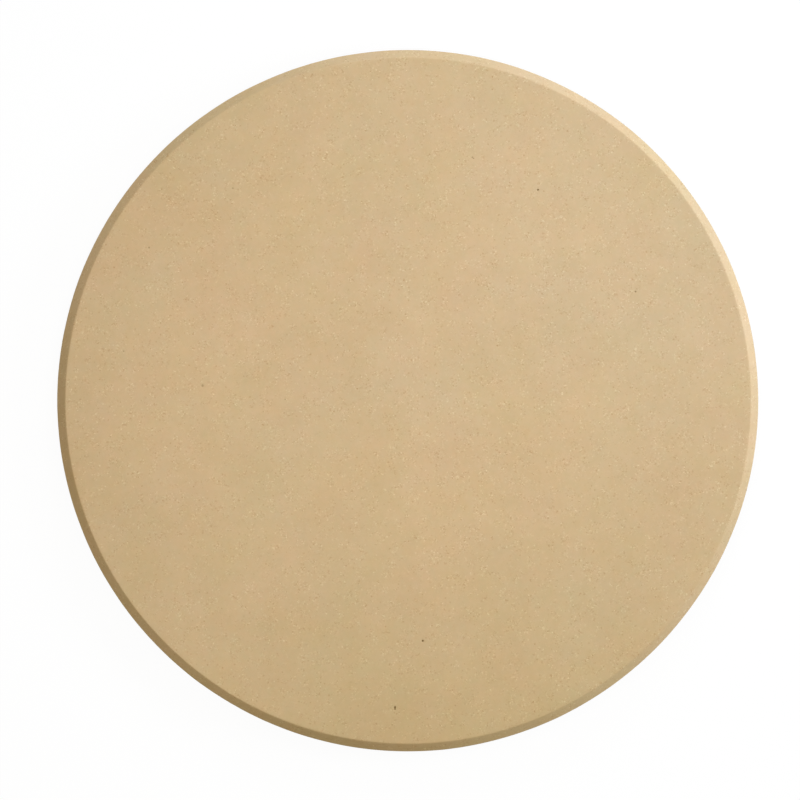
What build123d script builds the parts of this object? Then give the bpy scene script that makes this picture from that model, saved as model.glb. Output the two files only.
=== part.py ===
from build123d import *
import os
from math import cos, degrees, radians, sin, tan

# Pizza stone
#
# A round baking slab of fired cordierite clay, pressed in one piece. It lies with its baking face up.
# The Z axis runs up through the middle of the disc, and Z = 0 is the plane that the feet stand on.
# Lengths are in millimetres and angles in degrees.

# Disc
stone_diameter = 406.4  # across the widest place, low on the rim wall
slab_thickness = 11.0  # from the underside to the baking face, without the feet
bevel_width = 4.65  # from the top of the rim wall in to the edge of the baking face
bevel_drop = 4.65  # from the baking face down to the top of the rim wall
wall_draft = 2.0  # lean of the rim wall, so that the pressed disc leaves its mould
face_edge_radius = 1.5  # soft edge between the baking face and the bevel
bevel_edge_radius = 1.2  # soft edge between the bevel and the rim wall
lower_edge_radius = 1.8  # rounding between the rim wall and the underside

# Feet
foot_count = 4
first_foot_heading = 45.0  # from the X axis round to the middle of the first foot
foot_height = 5.0  # air gap under the slab, and a finger's way in below the rim
foot_width = 15.0  # across the flat sole
foot_length = 140.0  # along the middle of the sole, without its round ends
foot_inset = 44.0  # from the rim to the middle of the sole
foot_draft = 14.0  # lean of a foot's sides, wider at the root
sole_bevel = 0.8  # bevel round the sole, as high as it is wide
foot_root_radius = 2.2  # hollow curve from a foot's side into the underside

# Places worked out from the sizes above
stone_radius = stone_diameter / 2
underside = foot_height
baking_face = underside + slab_thickness
bevel_foot = baking_face - bevel_drop
lean = radians(wall_draft)
# The lines of the underside and the rim wall meet a little outside the rounded edge between them
rounded_off = lower_edge_radius * ((1 + sin(lean)) / cos(lean) - 1)
wall_foot_radius = stone_radius + rounded_off
wall_top_radius = wall_foot_radius - (bevel_foot - underside) * tan(lean)
face_radius = wall_top_radius - bevel_width
foot_ring_radius = stone_radius - foot_inset
foot_sweep = degrees(foot_length / foot_ring_radius)


def make_disc():
    """The disc, turned from one profile: underside, leaning rim wall, bevel and baking face."""
    with BuildLine() as profile:
        FilletPolyline(
            (0, underside),
            (wall_foot_radius, underside),
            (wall_top_radius, bevel_foot),
            (face_radius, baking_face),
            (0, baking_face),
            radius=[lower_edge_radius, bevel_edge_radius, face_edge_radius],
        )
        Line((0, baking_face), (0, underside))
    return revolve(Plane.XZ * make_face(profile.line), Axis.Z)


def foot_half_section():
    """Half of the cross-section of a foot, from its middle line out to where its root meets the underside."""
    sole_half = foot_width / 2
    side_half = sole_half + sole_bevel
    root_half = side_half + (foot_height - sole_bevel) * tan(radians(foot_draft))
    flare_half = root_half + foot_root_radius
    inside_slab = underside + slab_thickness / 2
    with BuildLine() as outline:
        FilletPolyline(
            (0, 0),
            (sole_half, 0),
            (side_half, sole_bevel),
            (root_half, underside),
            (flare_half, underside),
            radius=[0, 0, foot_root_radius],
        )
        Polyline((flare_half, underside), (flare_half, inside_slab), (0, inside_slab), (0, 0))
    return make_face(outline.line)


def make_foot():
    """One foot, a bar that bows along with the rim. Its ends are half turns of the same section."""
    half_section = foot_half_section()
    section = half_section + mirror(half_section, Plane.YZ)
    to_ring = Pos(foot_ring_radius, 0, 0) * Plane.XZ
    ring_point = (foot_ring_radius, 0, 0)
    bar = revolve(to_ring * section, Axis.Z, foot_sweep)
    near_end = revolve(to_ring * half_section, Axis(ring_point, (0, 0, -1)), 180)
    far_end = revolve(to_ring * half_section, Axis(ring_point, (0, 0, 1)), 180)
    foot = bar + near_end + Rot(Z=foot_sweep) * far_end
    return Rot(Z=-foot_sweep / 2) * foot


def make_stone():
    """The whole stone: the disc and its feet are one pressed and fired body."""
    stone = make_disc()
    foot = make_foot()
    for place in range(foot_count):
        heading = first_foot_heading + place * 360 / foot_count
        stone += Rot(Z=heading) * foot
    return stone


os.makedirs("parts", exist_ok=True)
baking_stone = make_stone()
baking_stone.label = "baking_stone"
export_step(baking_stone, "parts/baking_stone.step")

print(f"foot sweep {foot_sweep:.2f} degrees at a ring radius of {foot_ring_radius:.1f} mm")
print(f"baking face {2 * face_radius:.1f} mm across at {baking_face:.1f} mm above the soles")
print(f"volume {baking_stone.volume / 1000:.1f} cm3, valid {baking_stone.is_valid}")
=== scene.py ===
# %% [markdown]
# # A pizza stone, pressed and fired in one piece
# The real stone is one disc of cordierite clay: a flat baking face, a bevel round it, a short rim wall
# and low feet below. The measured model already holds its sizes. This lesson makes the surface that
# shows: soft worn edges, a flat face that isn't quite flat, sandy clay and iron specks.
# Everything is in metres, with Z up and the stone's middle on the Z axis.

# %% The measured model
from math import atan2, ceil, cos, hypot, pi, radians, sin, tan

import bpy
from mathutils import Matrix, Vector, noise
from mathutils.geometry import delaunay_2d_cdt


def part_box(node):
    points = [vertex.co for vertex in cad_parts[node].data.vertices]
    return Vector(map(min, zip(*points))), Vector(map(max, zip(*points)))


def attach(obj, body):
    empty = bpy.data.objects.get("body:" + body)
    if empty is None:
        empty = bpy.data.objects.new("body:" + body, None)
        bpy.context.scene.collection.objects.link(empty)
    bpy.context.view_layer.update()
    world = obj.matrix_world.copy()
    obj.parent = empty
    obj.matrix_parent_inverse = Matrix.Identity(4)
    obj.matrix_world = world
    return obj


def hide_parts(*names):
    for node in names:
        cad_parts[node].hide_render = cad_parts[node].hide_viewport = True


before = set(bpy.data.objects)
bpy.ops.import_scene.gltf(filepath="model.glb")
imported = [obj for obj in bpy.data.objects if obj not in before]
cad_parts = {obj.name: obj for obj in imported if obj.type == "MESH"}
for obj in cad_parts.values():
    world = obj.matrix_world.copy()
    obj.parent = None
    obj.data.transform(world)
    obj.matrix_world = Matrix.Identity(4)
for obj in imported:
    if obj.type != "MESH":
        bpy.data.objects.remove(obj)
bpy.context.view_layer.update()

low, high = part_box("baking_stone")
print(f"the stone measures {high.x - low.x:.4f} by {high.y - low.y:.4f} by {high.z - low.z:.4f} m")

# %% [markdown]
# ## The sizes that the surface needs
# The overall sizes come from the model, so that the surface can't drift away from it. The small sizes,
# such as the bevel and the rounded edges, are those of the real stone. They could be measured on the
# model's mesh, but a named value is easier to read and to compare with a caliper.

# %% Sizes
mm = 0.001

stone_radius = (high.x - low.x) / 2
baking_face = high.z
sole = low.z

slab_thickness = 11.0 * mm
bevel_width = 4.65 * mm
bevel_drop = 4.65 * mm
wall_draft = radians(2)
face_edge_radius = 1.5 * mm
bevel_edge_radius = 1.2 * mm
lower_edge_radius = 1.8 * mm

foot_count = 4
first_foot_heading = radians(45)
foot_width = 15.0 * mm
foot_length = 140.0 * mm
foot_inset = 44.0 * mm
foot_draft = radians(14)
sole_bevel = 0.8 * mm
sole_bevel_radius = 0.35 * mm
foot_root_radius = 2.2 * mm

underside = baking_face - slab_thickness
bevel_foot = baking_face - bevel_drop
rounded_off = lower_edge_radius * ((1 + sin(wall_draft)) / cos(wall_draft) - 1)
wall_foot_radius = stone_radius + rounded_off
wall_top_radius = wall_foot_radius - (bevel_foot - underside) * tan(wall_draft)
face_radius = wall_top_radius - bevel_width
foot_ring_radius = stone_radius - foot_inset
foot_sweep = foot_length / foot_ring_radius
print(f"baking face {2 * face_radius / mm:.1f} mm across, slab from {underside / mm:.1f} mm up")

# %% [markdown]
# ## Where the camera stands
# The photograph looks down from far away, leaning two degrees to the left, which shows a little more
# of the rim there. The camera is settled first, because the larger iron specks are placed by pixels of
# the photograph. A pixel is a straight line from the camera, and where that line meets the baking face
# is the place. A leaning view makes the near half of the disc look larger, so the middle of its outline
# lies a little nearer to the camera than the true middle does. The sum below allows for that.

# %% The photograph's frame and the camera's place
photo_size = 800
picture_middle_px = (photo_size - 1) / 2
disc_centre_px = (407.61, 400.21)
disc_radius_px = 343.25

camera_distance = 3.0
camera_lean = radians(1.9)
lean_heading = radians(171)
toward_camera = Vector(
    (cos(lean_heading) * sin(camera_lean), sin(lean_heading) * sin(camera_lean), cos(camera_lean))
)
forward = -toward_camera
right = forward.cross(Vector((0, 1, 0))).normalized()
upward = right.cross(forward)

px = face_radius / disc_radius_px
near_half_shift_px = disc_radius_px * face_radius * sin(camera_lean) / camera_distance
true_centre_px = (
    disc_centre_px[0] - near_half_shift_px * cos(lean_heading),
    disc_centre_px[1] + near_half_shift_px * sin(lean_heading),
)
aim_x = (picture_middle_px - true_centre_px[0]) * px
aim_y = (true_centre_px[1] - picture_middle_px) * px
camera_place = Vector((aim_x, aim_y, baking_face)) + toward_camera * camera_distance
print(f"one pixel is {px / mm:.3f} mm on the baking face")


def from_photo(x_px, y_px):
    """The place on the baking face behind a pixel of the photograph."""
    line = right * (x_px - picture_middle_px) + upward * (picture_middle_px - y_px)
    line += forward * camera_distance / px
    return (camera_place + line * ((baking_face - camera_place.z) / line.z)).xy


# %% [markdown]
# ## Rounded corners
# A pressed edge is never sharp. The corners could be left to a bevel modifier, but a bevel follows
# every edge alike. Here each corner of a cross-section has a radius of its own, as in the die, so the
# rounding is worked out while the outline is still a handful of points.

# %% An outline with rounded corners
def rounded_corner(before, corner, after, radius, steps):
    """Points of the arc that rounds one corner of a flat outline."""
    to_before = (before - corner).normalized()
    to_after = (after - corner).normalized()
    half_angle = to_before.angle(to_after) / 2
    reach = radius / tan(half_angle)
    centre = corner + (to_before + to_after).normalized() * (radius / sin(half_angle))
    start = corner + to_before * reach - centre
    end = corner + to_after * reach - centre
    turn = -start.angle_signed(end)
    return [centre + Matrix.Rotation(turn * k / steps, 2) @ start for k in range(steps + 1)]


def rounded_outline(corners, radii, steps):
    """The outline through these corners, with an arc at each one between the first and the last."""
    corners = [Vector(corner) for corner in corners]
    outline = [corners[0]]
    for k, radius in enumerate(radii, start=1):
        outline += rounded_corner(corners[k - 1], corners[k], corners[k + 1], radius, steps)
    return outline + [corners[-1]]


def with_points_between(outline, longest):
    """The same outline with each stretch over this length divided evenly."""
    divided = [outline[0]]
    for start, end in zip(outline, outline[1:]):
        parts = max(1, ceil((end - start).length / longest))
        divided += [start.lerp(end, k / parts) for k in range(1, parts + 1)]
    return divided


# %% [markdown]
# ## Collecting points and faces
# The flats, the rim and the feet are made one after the other and share the loops of points where they
# meet, so that the stone ends as one closed skin. Joining separate meshes and merging points by
# distance would also do, but sharing the points leaves nothing to chance.

# %% One skin for the whole stone
points = []
faces = []
face_kinds = []
PRESSED, KILN_SIDE = 0, 1  # in the order of the stone's materials


def add_points(places):
    """Adds points to the skin and returns their numbers."""
    first = len(points)
    points.extend(Vector(place) for place in places)
    return list(range(first, len(points)))


def add_band(one_loop, next_loop, kind, closed=True):
    """Joins two loops of as many points with a band of four-sided faces.

    For the faces to look out, both loops run counter-clockwise as seen from above, and the first is the
    one that is higher or nearer to the middle of what the band goes round.
    """
    count = len(one_loop)
    for k in range(count if closed else count - 1):
        after = (k + 1) % count
        faces.append((one_loop[k], next_loop[k], next_loop[after], one_loop[after]))
        face_kinds.append(kind)


# %% [markdown]
# ## The rim
# The bevel and the rim wall are turned shapes, like a pot's lip. A screw modifier could spin them,
# but plain rings of points are as short to write and can be nudged one by one later. Just inside each
# flat the outline gets one more point, a holding loop, which keeps the shading of the flat flat.

# %% Rings from the baking face down to the underside
rim_segments = 720
corner_steps = 6
holding_gap = 0.5 * mm
rim_spacing = 1.6 * mm

face_hold_radius = face_radius - face_edge_radius - holding_gap
under_hold_radius = wall_foot_radius - lower_edge_radius - holding_gap
rim_outline = rounded_outline(
    [
        (face_hold_radius, baking_face),
        (face_radius, baking_face),
        (wall_top_radius, bevel_foot),
        (wall_foot_radius, underside),
        (under_hold_radius, underside),
    ],
    [face_edge_radius, bevel_edge_radius, lower_edge_radius],
    corner_steps,
)
rim_outline = with_points_between(rim_outline, rim_spacing)


def ring(radius, height):
    """Places evenly round the Z axis."""
    turns = (2 * pi * k / rim_segments for k in range(rim_segments))
    return [(radius * cos(turn), radius * sin(turn), height) for turn in turns]


rim_rings = [add_points(ring(*place)) for place in rim_outline]
for upper, lower in zip(rim_rings, rim_rings[1:]):
    add_band(upper, lower, PRESSED)
print(f"the rim has {len(rim_rings)} rings of {rim_segments} points")

# %% [markdown]
# ## The feet
# Each foot is a low bar that bows with the rim and ends round. Its skin is one outline, drawn again and
# again at a growing distance from the foot's middle line while it climbs from the sole to the
# underside. A boolean union of a bar and the disc would give the same form, but it leaves long thin
# faces round the root, and those shade badly.

# %% The outline of a foot at any distance from its middle line
side_steps = 84
end_steps = 22


def foot_outline(distance, height, heading):
    """One closed loop round a foot: outer side, far end, inner side, near end."""
    half_sweep = foot_sweep / 2
    loop = []
    for side, end_start in ((1, 0), (-1, pi)):
        reach = foot_ring_radius + side * distance
        for k in range(side_steps):
            turn = heading - side * half_sweep + side * foot_sweep * k / side_steps
            loop.append((reach * cos(turn), reach * sin(turn), height))
        loop += foot_end(heading + side * half_sweep, end_start, distance, height)
    return loop


def foot_end(turn, start, distance, height):
    """The half circle round one end of the middle line."""
    x, y = foot_ring_radius * cos(turn), foot_ring_radius * sin(turn)
    angles = (turn + start + pi * k / end_steps for k in range(end_steps))
    return [(x + distance * cos(angle), y + distance * sin(angle), height) for angle in angles]


# %% The foot's cross-section, from the sole up to the underside
sole_half = foot_width / 2
side_half = sole_half + sole_bevel
root_half = side_half + (underside - sole - sole_bevel) * tan(foot_draft)
foot_outer = root_half + foot_root_radius + holding_gap
foot_section = rounded_outline(
    [
        (sole_half - 2 * holding_gap, sole),
        (sole_half, sole),
        (side_half, sole + sole_bevel),
        (root_half, underside),
        (foot_outer, underside),
    ],
    [sole_bevel_radius, sole_bevel_radius, foot_root_radius],
    corner_steps,
)
foot_section = with_points_between(foot_section, rim_spacing)


# %% The skin of each foot
def close_sole(loop, heading):
    """Fills a sole from its middle line out to the loop, and returns the middle line's points."""
    turns = (heading - foot_sweep / 2 + foot_sweep * k / side_steps for k in range(side_steps + 1))
    middle = add_points(
        (foot_ring_radius * cos(turn), foot_ring_radius * sin(turn), sole) for turn in turns
    )
    outer = loop[: side_steps + 1]
    far_end = loop[side_steps : side_steps + end_steps + 1]
    inner = loop[side_steps + end_steps : 2 * side_steps + end_steps + 1]
    near_end = loop[2 * side_steps + end_steps :] + loop[:1]
    add_band(outer, middle, KILN_SIDE, closed=False)
    add_band(inner, middle[::-1], KILN_SIDE, closed=False)
    for hub, end in ((middle[-1], far_end), (middle[0], near_end)):
        for one, after in zip(end, end[1:]):
            faces.append((hub, after, one))
            face_kinds.append(KILN_SIDE)
    return middle


foot_headings = [first_foot_heading + 2 * pi * k / foot_count for k in range(foot_count)]
foot_loops, foot_middles, foot_faces = [], [], []
for heading in foot_headings:
    first_face = len(faces)
    loops = [add_points(foot_outline(reach, height, heading)) for reach, height in foot_section]
    foot_middles.append(close_sole(loops[0], heading))
    for lower, upper in zip(loops, loops[1:]):
        add_band(upper, lower, KILN_SIDE)
    foot_loops.append(loops)
    foot_faces.append(range(first_face, len(faces)))
print(f"{foot_count} feet with {len(foot_section)} loops each")

# %% [markdown]
# ## The flats
# The baking face and the underside are wide and almost flat. Rings that shrink to a point would pinch
# the shading in the middle, and one big face couldn't be dented at all. An even scatter of points,
# joined into triangles by Delaunay's rule, has no middle and no seams, and more points can be set
# where a pit needs them.

# %% Even points, and triangles between them
points_closer_are_one = 0.001 * mm


def even_points(radius, spacing):
    """Points in rows, like stacked balls, inside a circle."""
    row_gap = spacing * sin(radians(60))
    rows = int(radius / row_gap)
    places = []
    for row in range(-rows, rows + 1):
        shift = spacing / 2 if row % 2 else 0
        columns = int(radius / spacing) + 1
        for column in range(-columns, columns + 1):
            place = Vector((column * spacing + shift, row * row_gap))
            if place.length < radius:
                places.append(place)
    return places


def fill_flat(loops, extra, height, kind, keep):
    """Fills the flat between closed loops with triangles, and keeps those that keep() wants."""
    numbers = [number for loop in loops for number in loop]
    edges = []
    first = 0
    for loop in loops:
        count = len(loop)
        edges += [(first + k, first + (k + 1) % count) for k in range(count)]
        first += count
    places = [points[number].xy for number in numbers] + extra
    numbers += add_points((place.x, place.y, height) for place in extra)
    _, _, triangles, sources, _, _ = delaunay_2d_cdt(places, edges, [], 0, points_closer_are_one)
    made = 0
    for triangle in triangles:
        corners = [sources[corner][0] for corner in triangle]
        middle = sum((places[corner] for corner in corners), Vector((0, 0))) / 3
        if keep(middle):
            if kind == KILN_SIDE:  # this side looks down
                corners.reverse()
            faces.append(tuple(numbers[corner] for corner in corners))
            face_kinds.append(kind)
            made += 1
    return made


# %% [markdown]
# ## Iron specks
# Grains of iron in the clay melt in the kiln and leave a dark dot, often in a tiny pit. The larger ones
# on the baking face are set where the photograph has them, in its own pixels. Each is a dent in the
# mesh and, later, a dark spot in the colour. Two close together make one long speck.

# %% The specks in the photograph
# pixel across, pixel down, radius of the dark spot in mm, how dark it is from 0 to 1
iron_specks_px = [
    (537.4, 189.3, 0.65, 0.91),
    (471.7, 156.8, 0.45, 0.62),
    (472.9, 158.0, 0.42, 0.62),
    (634.9, 291.1, 0.60, 0.66),
    (202.0, 385.2, 0.85, 0.42),
    (232.3, 187.8, 0.60, 0.38),
    (394.4, 706.8, 0.70, 1.00),
    (394.4, 708.4, 0.65, 0.95),
    (422.2, 640.4, 0.70, 1.00),
    (148.4, 247.2, 0.55, 0.50),
    (123.1, 350.8, 0.50, 0.43),
    (284.5, 399.0, 0.50, 0.32),
]
iron_specks = [(from_photo(x, y), size * mm, dark) for x, y, size, dark in iron_specks_px]
pit_reach_share = 1.5
pit_depth_share = 0.35
# How far each ring of points is from the speck's middle, in its radii, and how many points it has
pit_rings = ((0.35, 6), (0.7, 10), (1.05, 14), (1.5, 16), (2.4, 18))


def pit_points(centre, radius):
    """Rings of points close round a speck, so that the mesh can dent there."""
    places = [centre.copy()]
    for share, count in pit_rings:
        for k in range(count):
            turn = 2 * pi * k / count
            places.append(centre + radius * share * Vector((cos(turn), sin(turn))))
    return places


# %% Fill the baking face
face_spacing = 3.4 * mm
clear_of_speck = 2.0 * mm
least_gap = 0.15 * mm

face_places = [
    place
    for place in even_points(face_hold_radius - face_spacing / 2, face_spacing)
    if all((place - centre).length > clear_of_speck for centre, _, _ in iron_specks)
]
pit_places = []
for centre, radius, _ in iron_specks:
    others = list(pit_places)
    pit_places += [
        place
        for place in pit_points(centre, radius)
        if all((place - other).length > least_gap for other in others)
    ]
face_places += pit_places
count = fill_flat([rim_rings[0]], face_places, baking_face, PRESSED, lambda middle: True)
print(f"the baking face has {count} triangles, with pits for {len(iron_specks)} specks")

# %% Fill the underside, round the feet
under_spacing = 4.6 * mm
clear_of_foot = foot_outer + under_spacing / 3


def foot_distance(place):
    """How far a place on the underside is from the middle line of the nearest foot."""
    nearest = stone_radius
    for heading in foot_headings:
        local = Matrix.Rotation(-heading, 2) @ place
        turn = atan2(local.y, local.x)
        if abs(turn) <= foot_sweep / 2:
            distance = abs(local.length - foot_ring_radius)
        else:
            end_turn = foot_sweep / 2 if turn > 0 else -foot_sweep / 2
            end = foot_ring_radius * Vector((cos(end_turn), sin(end_turn)))
            distance = (local - end).length
        nearest = min(nearest, distance)
    return nearest


under_places = [
    place
    for place in even_points(under_hold_radius - under_spacing / 2, under_spacing)
    if foot_distance(place) > clear_of_foot
]
borders = [rim_rings[-1], *(loops[-1] for loops in foot_loops)]
between_feet = lambda middle: foot_distance(middle) > foot_outer
count = fill_flat(borders, under_places, underside, KILN_SIDE, between_feet)
print(f"the underside has {count} triangles")

# %% [markdown]
# ## From a perfect shape to a fired one
# Clay shrinks by a few percent as it dries and fires, and never quite evenly. A displace modifier with
# a texture would do this, but the amounts here are hundredths of a millimetre and differ by place, so
# the points are moved in code: long slow waves on the flats, a little unrest along the rim, a dent
# under each iron speck, and nothing on the soles, which stay true because the stone stands on them.

# %% Move the points by amounts that differ by place
wave_depth, wave_length = 0.06 * mm, 75 * mm
ripple_depth, ripple_length = 0.02 * mm, 16 * mm
rim_depth, rim_length = 0.09 * mm, 24 * mm
crumb_depth, crumb_length = 0.045 * mm, 3.2 * mm
keeps_true_to = sole + 2 * sole_bevel
on_face_from = baking_face - 0.01 * mm


def unrest(place):
    """How far a point moves out of the perfect surface, in metres."""
    push = wave_depth * noise.noise(place / wave_length)
    push += ripple_depth * noise.noise(place / ripple_length)
    if hypot(place.x, place.y) > face_hold_radius:
        push += rim_depth * noise.noise(place / rim_length)
        push += crumb_depth * noise.noise(place / crumb_length)
    return push


def pit(place):
    """How deep the baking face is dented under an iron speck."""
    depth = 0
    for centre, radius, dark in iron_specks:
        share = (place.xy - centre).length / (radius * pit_reach_share)
        if share < 1:
            depth += dark * radius * pit_depth_share * (1 - share * share) ** 2
    return depth


stone_mesh = bpy.data.meshes.new("pizza_stone")
stone_mesh.from_pydata([tuple(point) for point in points], [], faces)
stone_mesh.polygons.foreach_set("material_index", face_kinds)
stone_mesh.update()
perfect_normals = [vertex.normal.copy() for vertex in stone_mesh.vertices]
for vertex, normal in zip(stone_mesh.vertices, perfect_normals):
    place = vertex.co.copy()
    if place.z > keeps_true_to:
        vertex.co = place + normal * unrest(place)
    if place.z > on_face_from:
        vertex.co.z -= pit(place)
stone_mesh.shade_smooth()


# %% Put the stone in the scene
def add_object(name, data, place=(0, 0, 0), axes=None):
    """Puts an object in the scene. axes are the directions of its own X, Y and Z."""
    thing = bpy.data.objects.new(name, data)
    thing.location = place
    if axes:
        thing.rotation_mode = "QUATERNION"
        thing.rotation_quaternion = Matrix(axes).transposed().to_quaternion()
    bpy.context.scene.collection.objects.link(thing)
    return thing


stone = add_object("pizza_stone", stone_mesh)

# %% [markdown]
# ## Check the skin
# A closed skin has two faces at each edge, and the two run along it in opposite directions when they
# look the same way, in or out. Its volume then tells which: it is positive when they look out, and it
# should be near the measured model's. Both checks take a few lines and catch what a render can hide.

# %% Edges and volume of the skin
cm3 = 1e-6


def enclosed_volume(mesh):
    """The volume inside a closed mesh, from the pyramids between its triangles and the origin."""
    mesh.calc_loop_triangles()
    total = 0
    for triangle in mesh.loop_triangles:
        a, b, c = (mesh.vertices[k].co for k in triangle.vertices)
        total += a.dot(b.cross(c)) / 6
    return total


directed_edges = {edge for face in faces for edge in zip(face, face[1:] + face[:1])}
lone_edges = [edge for edge in directed_edges if edge[::-1] not in directed_edges]
edges_once_each = len(directed_edges) == sum(len(face) for face in faces) and not lone_edges
volume = enclosed_volume(stone_mesh)
cad_volume = enclosed_volume(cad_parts["baking_stone"].data)
print(f"{len(stone_mesh.polygons)} faces, {len(stone_mesh.loop_triangles)} triangles")
print(f"closed and all facing one way: {edges_once_each}")
print(f"volume {volume / cm3:.1f} cm3, measured model {cad_volume / cm3:.1f} cm3")

# %% [markdown]
# ## A flat map of the skin
# Outside Blender the colours come from one square picture, and a UV map says which part of it each face
# gets. Blender can lay out such a map by itself, but it gives all sides alike. People look at the baking
# face, so here it is a disc nearly as fine as the photograph, with the rim spread flat round it. The
# underside is a smaller disc, and the feet lie in a free corner, straightened and stacked.

# %% Flatten the rim and the feet
def straight_foot(distance):
    """foot_outline as it would be for a straight foot along X, in the same order."""
    half = foot_length / 2
    run = [foot_length * k / side_steps - half for k in range(side_steps)]
    bend = [pi * k / end_steps for k in range(end_steps)]
    loop = []
    for side in (1, -1):
        loop += [side * Vector((x, distance)) for x in run]
        loop += [side * Vector((half + distance * sin(angle), distance * cos(angle))) for angle in bend]
    return loop


def lengths_along(outline):
    """How far each point is from the first, along the outline."""
    lengths = [0.0]
    for start, end in zip(outline, outline[1:]):
        lengths.append(lengths[-1] + (end - start).length)
    return lengths


spread_flat = {}
for numbers, length in zip(rim_rings, lengths_along(rim_outline)):
    for number in numbers:
        spread_flat[number] = points[number].xy.normalized() * (face_hold_radius + length)
straightened = {}
for loops, middle in zip(foot_loops, foot_middles):
    for numbers, length in zip(loops, lengths_along(foot_section)):
        straightened.update(zip(numbers, straight_foot(foot_section[0].x + length)))
    for k, number in enumerate(middle):
        straightened[number] = Vector((foot_length * k / side_steps - foot_length / 2, 0))

# %% Lay out the map, in shares of the picture's width
map_border = 0.005
face_disc, under_disc = 0.355, 0.222
foot_row = 0.060
picture_px = 1024

face_scale = face_disc / (face_hold_radius + lengths_along(rim_outline)[-1])
under_scale = under_disc / under_hold_radius
face_middle = Vector((map_border + face_disc,) * 2)
under_middle = Vector((1 - map_border - under_disc,) * 2)
foot_of_face = {face: foot for foot, own_faces in enumerate(foot_faces) for face in own_faces}


def place_on_map(face, number):
    """Where a face has this point in the picture, which is 1 wide and 1 high."""
    if face_kinds[face] == PRESSED:
        return face_middle + face_scale * spread_flat.get(number, points[number].xy)
    if face in foot_of_face:
        row_middle = Vector((face_middle.x, 1 - map_border - foot_row * (foot_of_face[face] + 0.5)))
        return row_middle + face_scale * straightened[number]
    seen_from_below = Vector((points[number].x, -points[number].y))
    return under_middle + under_scale * seen_from_below


bake_map = stone_mesh.uv_layers.new(name="OFBake")
for face in stone_mesh.polygons:
    for corner in face.loop_indices:
        bake_map.uv[corner].vector = place_on_map(face.index, stone_mesh.loops[corner].vertex_index)
map_px = 1 / (picture_px * face_scale)
print(f"in a picture of {picture_px} pixels the baking face has {map_px / mm:.2f} mm to a pixel")

# %% [markdown]
# ## Small helpers for materials
# A material is a tree of nodes, and most of them do one small sum. They could be placed by hand, but
# with a helper for each kind a tree reads like a recipe.

# %% Nodes for sums and colours
# A Mix node's inputs for numbers and for colours have the same names, so they go by number
MIX_SHARE, FIRST_COLOUR, SECOND_COLOUR, MIXED_COLOUR = 0, 6, 7, 2


def add_node(tree, kind, inputs=None, **settings):
    """Adds a node. inputs sets its inputs, by name or number, or links them to other nodes."""
    node = tree.nodes.new(kind)
    for name, value in settings.items():
        setattr(node, name, value)
    for name, value in (inputs or {}).items():
        if isinstance(value, bpy.types.NodeSocket):
            tree.links.new(value, node.inputs[name])
        else:
            node.inputs[name].default_value = value
    return node


def calculate(tree, operation, first, second=0.0, third=0.0):
    """One Math node. Each value is a number or another node's output."""
    inputs = {0: first, 1: second, 2: third}
    return add_node(tree, "ShaderNodeMath", inputs, operation=operation).outputs[0]


def times(tree, value, factor, plus=0.0):
    """A product, plus a third value."""
    return calculate(tree, "MULTIPLY_ADD", value, factor, plus)


def measure(tree, operation, first, second=(0, 0, 0)):
    """One Vector Math node that gives a number, such as a length."""
    inputs = {0: first, 1: second}
    return add_node(tree, "ShaderNodeVectorMath", inputs, operation=operation).outputs["Value"]


def slant(tree, across, up):
    """How far it is to a place that is this far across and this far up."""
    return calculate(tree, "SQRT", times(tree, across, across, times(tree, up, up)))


def spread(tree, value, low_value, high_value, low_result=0.0, high_result=1.0):
    """One Map Range node with smooth ends."""
    names = ("Value", "From Min", "From Max", "To Min", "To Max")
    inputs = dict(zip(names, (value, low_value, high_value, low_result, high_result)))
    return add_node(tree, "ShaderNodeMapRange", inputs, interpolation_type="SMOOTHSTEP").outputs["Result"]


def blend_colours(tree, share, first, second, mode="MIX"):
    """One Mix node for two colours."""
    inputs = {MIX_SHARE: share, FIRST_COLOUR: first, SECOND_COLOUR: second}
    node = add_node(tree, "ShaderNodeMix", inputs, data_type="RGBA", blend_type=mode)
    return node.outputs[MIXED_COLOUR]


def tint(tree, colour, red, green, blue):
    """Multiplies a colour by three values."""
    factor = add_node(tree, "ShaderNodeCombineColor", {0: red, 1: green, 2: blue}).outputs[0]
    return blend_colours(tree, 1.0, colour, factor, "MULTIPLY")


def lighten(tree, colour, tone, red_share, blue_share):
    """Lightens or darkens a colour by a tone around 0. Pale clay is also greyer, so blue rises most."""
    red = times(tree, tone, red_share, 1.0)
    green = calculate(tree, "ADD", tone, 1.0)
    blue = times(tree, tone, blue_share, 1.0)
    return tint(tree, colour, red, green, blue)


# %% [markdown]
# ## Random patterns
# Clay is random at every size, and two textures give all of that. Noise is like cloud: soft, with finer
# cloud inside. Voronoi is like a pack of pebbles, each with random values of its own. A picture would
# do for one side, but these fill space, so that they have no seam at the bevel or the feet.

# %% Nodes for random patterns
noise_middle = 0.5  # what a Noise texture gives on average


def scale_for(tree, size):
    """The scale of a texture whose features are to have this size."""
    return calculate(tree, "DIVIDE", 1.0, size)


def cloud(tree, place, scale, detail, roughness=0.5):
    """A Noise texture's outputs: number 0 is one soft random value, and Color holds three."""
    inputs = {"Vector": place, "Scale": scale, "Detail": detail, "Roughness": roughness}
    return add_node(tree, "ShaderNodeTexNoise", inputs).outputs


def pebbles(tree, place, scale):
    """Voronoi cells: the distance from the cell's middle, and the cell's three random values."""
    cells = add_node(tree, "ShaderNodeTexVoronoi", {"Vector": place, "Scale": scale}).outputs
    chances = add_node(tree, "ShaderNodeSeparateColor", {"Color": cells["Color"]}).outputs
    return cells["Distance"], chances


# %% [markdown]
# ## Groups
# A node group is a small tree with named inputs and outputs, made once and placed in each material with
# its own values. Copies of its nodes would look the same, but each change would have to be made in all.

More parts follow.
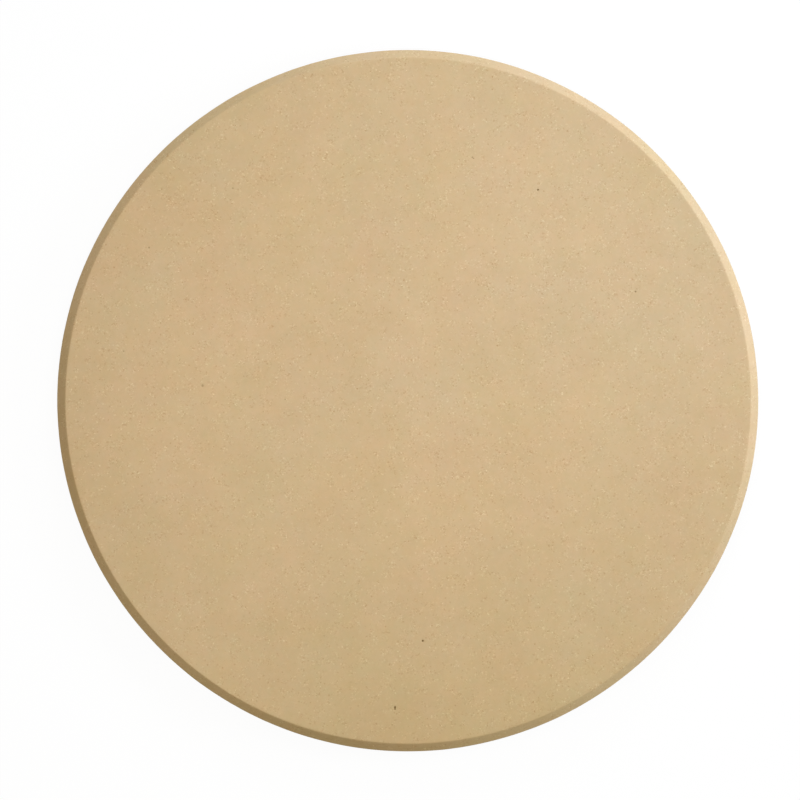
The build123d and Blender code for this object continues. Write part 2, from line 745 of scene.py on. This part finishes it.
# %% Start a group, and use one
def start_group(name, places, values, outputs):
    """A shader node group. places are its vector inputs, and values its number inputs with defaults."""
    group = bpy.data.node_groups.new(name, "ShaderNodeTree")
    add_socket = group.interface.new_socket
    for socket in places:
        add_socket(socket, in_out="INPUT", socket_type="NodeSocketVector")
    for socket, value in values.items():
        add_socket(socket, in_out="INPUT", socket_type="NodeSocketFloat").default_value = value
    for socket in outputs:
        add_socket(socket, in_out="OUTPUT", socket_type="NodeSocketFloat")
    return group, group.nodes.new("NodeGroupInput").outputs, group.nodes.new("NodeGroupOutput").inputs


def use_group(tree, group, inputs):
    """Places a group in a material with values of its own."""
    return add_node(tree, "ShaderNodeGroup", inputs, node_tree=group).outputs


# %% [markdown]
# ## Packed grains
# The body of the stone is crushed cordierite and grog, pressed with a little clay. Close up it is a
# tight pack of grains, most of them nearly alike, with a few paler and a few darker ones. The cells of
# a Voronoi texture pack in the same way, and each has a random colour of its own. An odd power of a
# random number between -1 and 1 is mostly near nought, which makes the odd grains rare. The grains
# gather in clusters, because the mix is never stirred quite even, so a broader noise says how much
# they stand out. A fine noise over all is the sand between them.

# %% Group: packed grains
calm_noise, lively_noise, most_contrast = 0.375, 0.645, 2.5
cluster_detail = 1.0
sand_finer, sand_detail, sand_roughness = 1.6, 2.0, 0.6
odd_grain_height = 0.3

grains, grains_in, grains_out = start_group(
    "packed grains", ["Place"], {"Grain Size": 0.9 * mm, "Cluster Size": 4.8 * mm}, ["Tone", "Height"]
)
grain_scale = scale_for(grains, grains_in["Grain Size"])
_, grain_chances = pebbles(grains, grains_in["Place"], grain_scale)
signed = times(grains, grain_chances[0], 2.0, -1.0)
squared = times(grains, signed, signed)
odd_grain = times(grains, signed, times(grains, squared, squared))
cluster_scale = scale_for(grains, grains_in["Cluster Size"])
clusters = cloud(grains, grains_in["Place"], cluster_scale, cluster_detail)[0]
contrast = spread(grains, clusters, calm_noise, lively_noise, 0.0, most_contrast)
sand_scale = times(grains, grain_scale, sand_finer)
sand = cloud(grains, grains_in["Place"], sand_scale, sand_detail, sand_roughness)[0]
uneven = calculate(grains, "ADD", odd_grain, calculate(grains, "SUBTRACT", sand, noise_middle))
grains.links.new(times(grains, uneven, contrast), grains_out["Tone"])
grain_height = times(grains, odd_grain, odd_grain_height, sand)
grains.links.new(grain_height, grains_out["Height"])

# %% [markdown]
# ## Pale grog and pin points
# Here and there a grain stands out: a pale piece of grog, or a dark pin point where a grain has dropped
# out or iron has burned. Both are small spots in a random pattern, so one group makes both. Each cell
# of a Voronoi texture holds one spot, the cell's own random colour decides how large and how strong it
# is, and a little noise keeps the spot from being round.

# %% Group: scattered spots
outline_finer, outline_detail, outline_shake = 4.0, 0.0, 0.24
least_spot_size = 0.5
spot_core_share = 0.4

spots, spots_in, spots_out = start_group(
    "scattered spots", ["Place"], {"Spacing": 2.0 * mm, "Spot Size": 0.25, "Rarity": 3.0}, ["Mask"]
)
spot_scale = scale_for(spots, spots_in["Spacing"])
from_middle, spot_chances = pebbles(spots, spots_in["Place"], spot_scale)
outline_scale = times(spots, spot_scale, outline_finer)
outline_noise = cloud(spots, spots_in["Place"], outline_scale, outline_detail)[0]
shaken = times(spots, outline_noise, outline_shake, from_middle)
from_spot = calculate(spots, "SUBTRACT", shaken, outline_shake * noise_middle)
size_share = calculate(spots, "ADD", spot_chances[1], least_spot_size)
spot_size = times(spots, spots_in["Spot Size"], size_share)
spot_core = times(spots, spot_size, spot_core_share)
spot_mask = spread(spots, from_spot, spot_core, spot_size, 1.0, 0.0)
spot_strength = calculate(spots, "POWER", spot_chances[0], spots_in["Rarity"])
spots.links.new(times(spots, spot_mask, spot_strength), spots_out["Mask"])

# %% [markdown]
# ## Kiln mottling
# Heat and flame aren't even in a kiln, so a stone is a little pinker here and a little yellower there,
# in patches of every size from a hand to a fingertip. One noise with many octaves, nearly as strong as
# each other, has patches of all those sizes, and its three colour channels vary on their own: two for
# the hue and one for the lightness.

# %% Group: kiln mottling
patch_detail, patch_roughness = 6.0, 0.95

mottling, mottling_in, mottling_out = start_group(
    "kiln mottling", ["Place"], {"Largest Patch": 120 * mm}, ["Pink", "Blue", "Light"]
)
patch_scale = scale_for(mottling, mottling_in["Largest Patch"])
patches = cloud(mottling, mottling_in["Place"], patch_scale, patch_detail, patch_roughness)
patch_channels = add_node(mottling, "ShaderNodeSeparateColor", {"Color": patches["Color"]}).outputs
for channel, name in zip(patch_channels, ("Pink", "Blue", "Light")):
    mottling.links.new(calculate(mottling, "SUBTRACT", channel, noise_middle), mottling_out[name])

# %% [markdown]
# ## Rubbed edges with a painted highlight
# After pressing, the rim is wiped with a damp sponge and rubbed down, and later the corners wear first.
# Rubbed clay is a little paler, and the paler, greyer colour at the edges is also a painted highlight
# there. The rims are circles, so a place's distance from such a circle tells how near it is to the
# edge. A little noise keeps the border of the rubbed band from looking ruled.

# %% Group: rubbed edge with a painted highlight
border_scale, border_detail = 260.0, 3.0
least_border = 0.5

rubbed_and_highlit, rubbed_and_highlit_in, rubbed_and_highlit_out = start_group(
    "rubbed edge",
    ["Place"],
    {"Edge Radius": 200 * mm, "Edge Height": 10 * mm, "Reach": 1 * mm},
    ["Mask"],
)
x, y, z = add_node(rubbed_and_highlit, "ShaderNodeSeparateXYZ", {0: rubbed_and_highlit_in["Place"]}).outputs
outward = calculate(rubbed_and_highlit, "SUBTRACT", slant(rubbed_and_highlit, x, y), rubbed_and_highlit_in["Edge Radius"])
above = calculate(rubbed_and_highlit, "SUBTRACT", z, rubbed_and_highlit_in["Edge Height"])
from_edge = slant(rubbed_and_highlit, outward, above)
border = cloud(rubbed_and_highlit, rubbed_and_highlit_in["Place"], border_scale, border_detail)[0]
border_share = calculate(rubbed_and_highlit, "ADD", border, least_border)
border_reach = times(rubbed_and_highlit, rubbed_and_highlit_in["Reach"], border_share)
rubbed_and_highlit.links.new(spread(rubbed_and_highlit, from_edge, 0.0, border_reach, 1.0, 0.0), rubbed_and_highlit_out["Mask"])

# %% [markdown]
# ## Iron specks in the colour
# The dark spot of each iron speck lies over its dent. The group makes one spot, with an edge that a
# little noise breaks up, so that it isn't a neat circle. A material places it once for each speck.

# %% Group: one iron speck
ragged_scale, ragged_detail = 1800.0, 1.0
least_ragged = 0.75
speck_core_share = 0.3

speck, speck_in, speck_out = start_group(
    "iron speck", ["Place", "Centre"], {"Radius": 0.5 * mm, "Dark": 0.6}, ["Mask"]
)
from_centre = measure(speck, "DISTANCE", speck_in["Place"], speck_in["Centre"])
ragged = cloud(speck, speck_in["Place"], ragged_scale, ragged_detail)[0]
ragged_share = calculate(speck, "ADD", ragged, least_ragged)
ragged_reach = times(speck, speck_in["Radius"], ragged_share)
speck_core = times(speck, ragged_reach, speck_core_share)
speck_mask = spread(speck, from_centre, speck_core, ragged_reach, 1.0, 0.0)
speck.links.new(times(speck, speck_mask, speck_in["Dark"]), speck_out["Mask"])
for group in (grains, spots, mottling, rubbed_and_highlit, speck):
    print(f"{group.name}: {len(group.nodes)} nodes")

# %% [markdown]
# ## The clay body
# Both sides of the stone are the same clay: the plain colour, then mottling, grains, pale grog and dark
# points over it. One function builds this in a material's tree, and each side gives its own values.

# %% The clay body, for any material
clay_colour = (0.632, 0.457, 0.2495, 1)
pink_share, blue_share, light_share = 0.27, 0.31, 0.33
mottling_hues, grain_hues = (0.72, 1.45), (0.62, 1.36)
pale_grog = {"Spacing": 2.5 * mm, "Spot Size": 0.19, "Rarity": 2.0}
pin_points = {"Spacing": 2.7 * mm, "Spot Size": 0.17, "Rarity": 2.8}
grog_shift, pin_shift = 0.51, 0.37
pin_depth = 1.5


def moved(tree, place, distance):
    """The same place seen from further off, so that two random patterns don't coincide."""
    shift = (distance, distance, distance)
    return add_node(tree, "ShaderNodeVectorMath", {0: place, 1: shift}, operation="ADD").outputs[0]


def clay_body(tree, place, grain_size, grain_tone, grog_tone, pin_tone):
    """The clay's colour, height and grain tone. The tones say how strongly each kind of grain shows."""
    patch = use_group(tree, mottling, {"Place": place})
    pink = times(tree, patch["Pink"], pink_share, 1.0)
    blue = times(tree, patch["Blue"], blue_share, 1.0)
    colour = tint(tree, clay_colour, pink, 1.0, blue)
    colour = lighten(tree, colour, times(tree, patch["Light"], light_share), *mottling_hues)

    grain = use_group(tree, grains, {"Place": place, "Grain Size": grain_size})
    grog = use_group(tree, spots, {"Place": moved(tree, place, grog_shift), **pale_grog})["Mask"]
    pins = use_group(tree, spots, {"Place": moved(tree, place, pin_shift), **pin_points})["Mask"]
    tone = times(tree, grain["Tone"], grain_tone)
    tone = times(tree, grog, grog_tone, tone)
    tone = times(tree, pins, -pin_tone, tone)
    colour = lighten(tree, colour, tone, *grain_hues)
    height = times(tree, pins, -pin_depth, grain["Height"])
    return colour, height, grain["Tone"]


# %% A material's first and last nodes
grain_roughness = 0.12


def bare_tree(owner):
    """The node tree of a material or a world, emptied."""
    owner.use_nodes = True
    owner.node_tree.nodes.clear()
    return owner.node_tree


def clay_tree(name):
    """A new material, its tree, its Principled shader and the place on the stone."""
    material = bpy.data.materials.new(name)
    tree = bare_tree(material)
    shader = tree.nodes.new("ShaderNodeBsdfPrincipled")
    add_node(tree, "ShaderNodeOutputMaterial", {"Surface": shader.outputs[0]})
    return material, tree, shader, tree.nodes.new("ShaderNodeTexCoord").outputs["Object"]


def finish_clay(tree, shader, colour, height, grain_tone, roughness, bump_height, bump_strength):
    """Links the clay to its shader. Pale grains are a little rougher than dark ones."""
    rough = times(tree, grain_tone, grain_roughness, roughness)
    bump_inputs = {"Height": height, "Distance": bump_height, "Strength": bump_strength}
    bump = add_node(tree, "ShaderNodeBump", bump_inputs).outputs[0]
    for name, value in (("Base Color", colour), ("Roughness", rough), ("Normal", bump)):
        tree.links.new(value, shader.inputs[name])


# %% [markdown]
# ## The pressed side
# The baking face, the bevel and the rim wall touch the polished die, so they are the fine side. Fired
# cordierite is dry and dull, and only a very flat light makes it shine a little, so the roughness is
# high and varies with the grains. Over it goes slow painted light: a painted tint of the light, redder
# towards the left and bluer towards the top, and a broad band across the middle painted a shade paler
# and greyer, with painted shade towards both edges. A large noise can't be told where to go, so both
# are plain sums of the place on the stone.

# %% Pressed clay: the body, and slow painted light and shade across the stone
pressed_clay, tree, shader, place = clay_tree("pressed clay")
tones = {"grain_tone": 0.112, "grog_tone": 0.145, "pin_tone": 0.26}
colour, height, grain_tone = clay_body(tree, place, grain_size=0.70 * mm, **tones)

# Which way the painted tint of light goes, and how much it is at the edge that lies this way
painted_red_light_heading, painted_red_light_change = radians(188), 0.015
painted_blue_light_heading, painted_blue_light_change = radians(258), -0.034
# The band of painted light, paler and greyer: what it is in the middle, and how it falls off into painted
# shade towards both edges
painted_light_band_heading = radians(110)
painted_light_band_middle, painted_shade_fall = 1.013, -0.032
painted_grey_band_middle, painted_grey_fall = 1.027, -0.080


def across_stone(tree, place, heading):
    """-1 at one edge of the stone to 1 at the edge that lies this way."""
    direction = (cos(heading) / stone_radius, sin(heading) / stone_radius, 0)
    return measure(tree, "DOT_PRODUCT", place, direction)


# Painted light: the clay is tinted redder towards one side and bluer towards another, as the light falls
# there
painted_red_light = times(tree, across_stone(tree, place, painted_red_light_heading), painted_red_light_change, 1.0)
painted_blue_light = times(tree, across_stone(tree, place, painted_blue_light_heading), painted_blue_light_change, 1.0)
colour = tint(tree, colour, painted_red_light, 1.0, painted_blue_light)
# Painted light and shade: a band across the middle is a shade paler and greyer, and the face darkens
# towards both edges of it
across_painted_band = across_stone(tree, place, painted_light_band_heading)
from_painted_band = times(tree, across_painted_band, across_painted_band)
painted_light_band = times(tree, from_painted_band, painted_shade_fall, painted_light_band_middle)
painted_grey_band = times(tree, from_painted_band, painted_grey_fall, painted_grey_band_middle)
colour = tint(tree, colour, painted_light_band, painted_light_band, times(tree, painted_light_band, painted_grey_band))

# %% Pressed clay: iron specks and the rubbed rim with its painted highlight
burnt_iron = (0.140, 0.074, 0.003, 1)
# Paler, greyer clay at the edges: partly rubbed wear and partly a painted highlight
rubbed_and_highlit_clay = (0.680, 0.511, 0.285, 1)
rubbed_and_highlight_amount = 0.25
rubbed_and_highlight_reach = 1.3 * mm


def strongest(tree, group, uses):
    """Places a group once for each of these inputs, and returns the largest of the masks."""
    most = 0.0
    for inputs in uses:
        most = calculate(tree, "MAXIMUM", most, use_group(tree, group, inputs)["Mask"])
    return most


speck_uses = [
    {"Place": place, "Centre": (*centre, baking_face), "Radius": radius, "Dark": dark}
    for centre, radius, dark in iron_specks
]
colour = blend_colours(tree, strongest(tree, speck, speck_uses), colour, burnt_iron)

edge_uses = [
    {"Place": place, "Edge Radius": radius, "Edge Height": edge_height, "Reach": rubbed_and_highlight_reach}
    for radius, edge_height in ((wall_top_radius, bevel_foot), (wall_foot_radius, underside))
]
# The bevel's lower edge and the lower edge get rubbed wear together with a painted highlight
worn_and_highlit = times(tree, strongest(tree, rubbed_and_highlit, edge_uses), rubbed_and_highlight_amount)
colour = blend_colours(tree, worn_and_highlit, colour, rubbed_and_highlit_clay)

bump = {"bump_height": 0.05 * mm, "bump_strength": 0.5}
finish_clay(tree, shader, colour, height, grain_tone, roughness=0.80, **bump)
stone_mesh.materials.append(pressed_clay)
print(f"{pressed_clay.name}: {len(tree.nodes)} nodes")

# %% [markdown]
# ## The kiln side
# The underside is pressed by a plainer punch and set down on the sandy kiln shelf, so its grains are
# coarser and its dark points are more. It is the same clay, so it is the same body with other values.

# %% Material: kiln side
kiln_side, tree, shader, place = clay_tree("kiln side clay")
tones = {"grain_tone": 0.15, "grog_tone": 0.18, "pin_tone": 0.35}
colour, height, grain_tone = clay_body(tree, place, grain_size=1.1 * mm, **tones)
bump = {"bump_height": 0.10 * mm, "bump_strength": 0.7}
finish_clay(tree, shader, colour, height, grain_tone, roughness=0.86, **bump)
stone_mesh.materials.append(kiln_side)
print(f"{kiln_side.name}: {len(tree.nodes)} nodes")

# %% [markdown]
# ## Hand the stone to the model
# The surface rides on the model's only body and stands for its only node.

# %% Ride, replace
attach(stone, "root")
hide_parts("baking_stone")

# %% [markdown]
# ## Floor and background
# The photograph's background is plain white. The floor shows white to the camera, and to anything that
# mirrors it, through Light Path, while it reflects the light of a pale table to the stone. A part of
# its own shading stays in what the camera sees, and that part holds the stone's soft shadow. Beneath
# the stone nearly all of it stays, or the stone would seem to float when it is seen from the side.

# %% The floor's plane
floor_reach = 30
floor_height = sole - 0.05 * mm

floor_corners = [(-1, -1), (1, -1), (1, 1), (-1, 1)]
floor_places = [(floor_reach * x, floor_reach * y, floor_height) for x, y in floor_corners]
floor_mesh = bpy.data.meshes.new("floor")
floor_mesh.from_pydata(floor_places, [], [(0, 1, 2, 3)])
floor = add_object("floor", floor_mesh)

# %% The floor's material
table_colour = (0.8, 0.8, 0.8, 1)
white = (1, 1, 1, 1)
floor_white = 1.02
shadow_kept, shadow_kept_beneath = 0.06, 0.92
beneath_to, beneath_ends = stone_radius - 13 * mm, stone_radius + 1 * mm


def seen_directly(tree):
    """1 for rays from the camera and off shiny or clear surfaces, 0 for light that the stone gathers."""
    path = tree.nodes.new("ShaderNodeLightPath").outputs
    either = calculate(tree, "MAXIMUM", path["Is Camera Ray"], path["Is Glossy Ray"])
    return calculate(tree, "MAXIMUM", either, path["Is Transmission Ray"])


def show_instead(tree, output_kind, share, real, shown):
    """Ends a tree with its real shader and, by this share, the one that is shown instead."""
    shaders = {0: share, 1: real.outputs[0], 2: shown.outputs[0]}
    mixed = add_node(tree, "ShaderNodeMixShader", shaders)
    add_node(tree, output_kind, {"Surface": mixed.outputs[0]})


floor_material = bpy.data.materials.new("floor")
tree = bare_tree(floor_material)
pale_table = add_node(tree, "ShaderNodeBsdfDiffuse", {"Color": table_colour})
plain_white = add_node(tree, "ShaderNodeEmission", {"Color": white, "Strength": floor_white})
from_stone_middle = measure(tree, "LENGTH", tree.nodes.new("ShaderNodeTexCoord").outputs["Object"])
kept = spread(tree, from_stone_middle, beneath_to, beneath_ends, shadow_kept_beneath, shadow_kept)
share = times(tree, seen_directly(tree), calculate(tree, "SUBTRACT", 1.0, kept))
show_instead(tree, "ShaderNodeOutputMaterial", share, pale_table, plain_white)
floor_mesh.materials.append(floor_material)

# %% The room round it
room_colour, room_level = (1.12, 1.0, 0.62, 1), 0.226

world = bpy.data.worlds.new("studio")
bpy.context.scene.world = world
tree = bare_tree(world)
room_light = add_node(tree, "ShaderNodeBackground", {"Color": room_colour, "Strength": room_level})
white_room = add_node(tree, "ShaderNodeBackground", {"Color": white, "Strength": 1.0})
show_instead(tree, "ShaderNodeOutputWorld", seen_directly(tree), room_light, white_room)

# %% [markdown]
# ## Lights
# In the photograph the bevel is bright from the top round to the right and darkest towards the lower
# left. That is a pair of soft lamps, one at the top and one at the right, not very high. The face fades
# a little towards its edge, more so at the upper left and the lower right. A long lamp close overhead,
# laid along the other diagonal, does that. The side lamps are cool, as daylight is, the overhead lamp
# is a little warm and the room is the warmest. Together they are neutral on the face, so that a colour
# renders about as it is written.

# %% A lamp of a known level
def add_lamp(name, place, length, width, level, colour, long_heading=0):
    """An oval lamp that looks at the middle of the baking face.

    Its level is how bright it alone makes white clay there. 1 is white.
    """
    reach = Vector(place) - Vector((0, 0, baking_face))
    radius_squared = length * width / 4
    facing = reach.z / reach.length
    light = bpy.data.lights.new(name, "AREA")
    light.shape = "ELLIPSE"
    light.size, light.size_y = length, width
    light.energy = level * pi**2 * (radius_squared + reach.length_squared) / facing
    light.color = colour
    back = reach.normalized()
    across = Vector((-sin(long_heading), cos(long_heading), 0)).cross(back).normalized()
    lamp = add_object(name, light, place, (across, back.cross(across), back))
    lamp.visible_camera = False
    print(f"{name}: {light.energy:.1f} W from {reach.length:.2f} m")


# %% Two side lamps and a long overhead lamp
cool_light = (0.90, 1.0, 1.20)
warm_light = (1.06, 1.0, 0.95)
side_lamp_distance = 1.3
side_lamp_width = 0.50
side_lamp_lift = radians(23.6)
side_lamps = (("right side lamp", radians(2.9), 0.245), ("top side lamp", radians(79.2), 0.187))

for name, heading, level in side_lamps:
    flat = cos(side_lamp_lift)
    line = Vector((cos(heading) * flat, sin(heading) * flat, sin(side_lamp_lift)))
    lamp_place = Vector((0, 0, baking_face)) + side_lamp_distance * line
    add_lamp(name, lamp_place, side_lamp_width, side_lamp_width, level, cool_light)

overhead_place, overhead_size, overhead_heading = (-0.05, 0.0, 0.436), (0.67, 0.25), radians(45)
overhead_level = 0.328
add_lamp("overhead lamp", overhead_place, *overhead_size, overhead_level, warm_light, overhead_heading)

# %% [markdown]
# ## Camera
# The camera goes where it was settled at the start. Its lens makes the baking face as wide as it is in
# the photograph.

# %% Camera
camera_data = bpy.data.cameras.new("camera")
camera = add_object("camera", camera_data, camera_place, (right, upward, -forward))
camera_data.sensor_width = 36
camera_data.lens = camera_data.sensor_width / photo_size * camera_distance / px
bpy.context.scene.camera = camera
print(f"lens {camera_data.lens:.1f} mm from {camera_distance} m")

# %% [markdown]
# ## Finish
# Colours are shown plainly, without a film look.

# %% View settings
bpy.context.scene.view_settings.view_transform = "Standard"
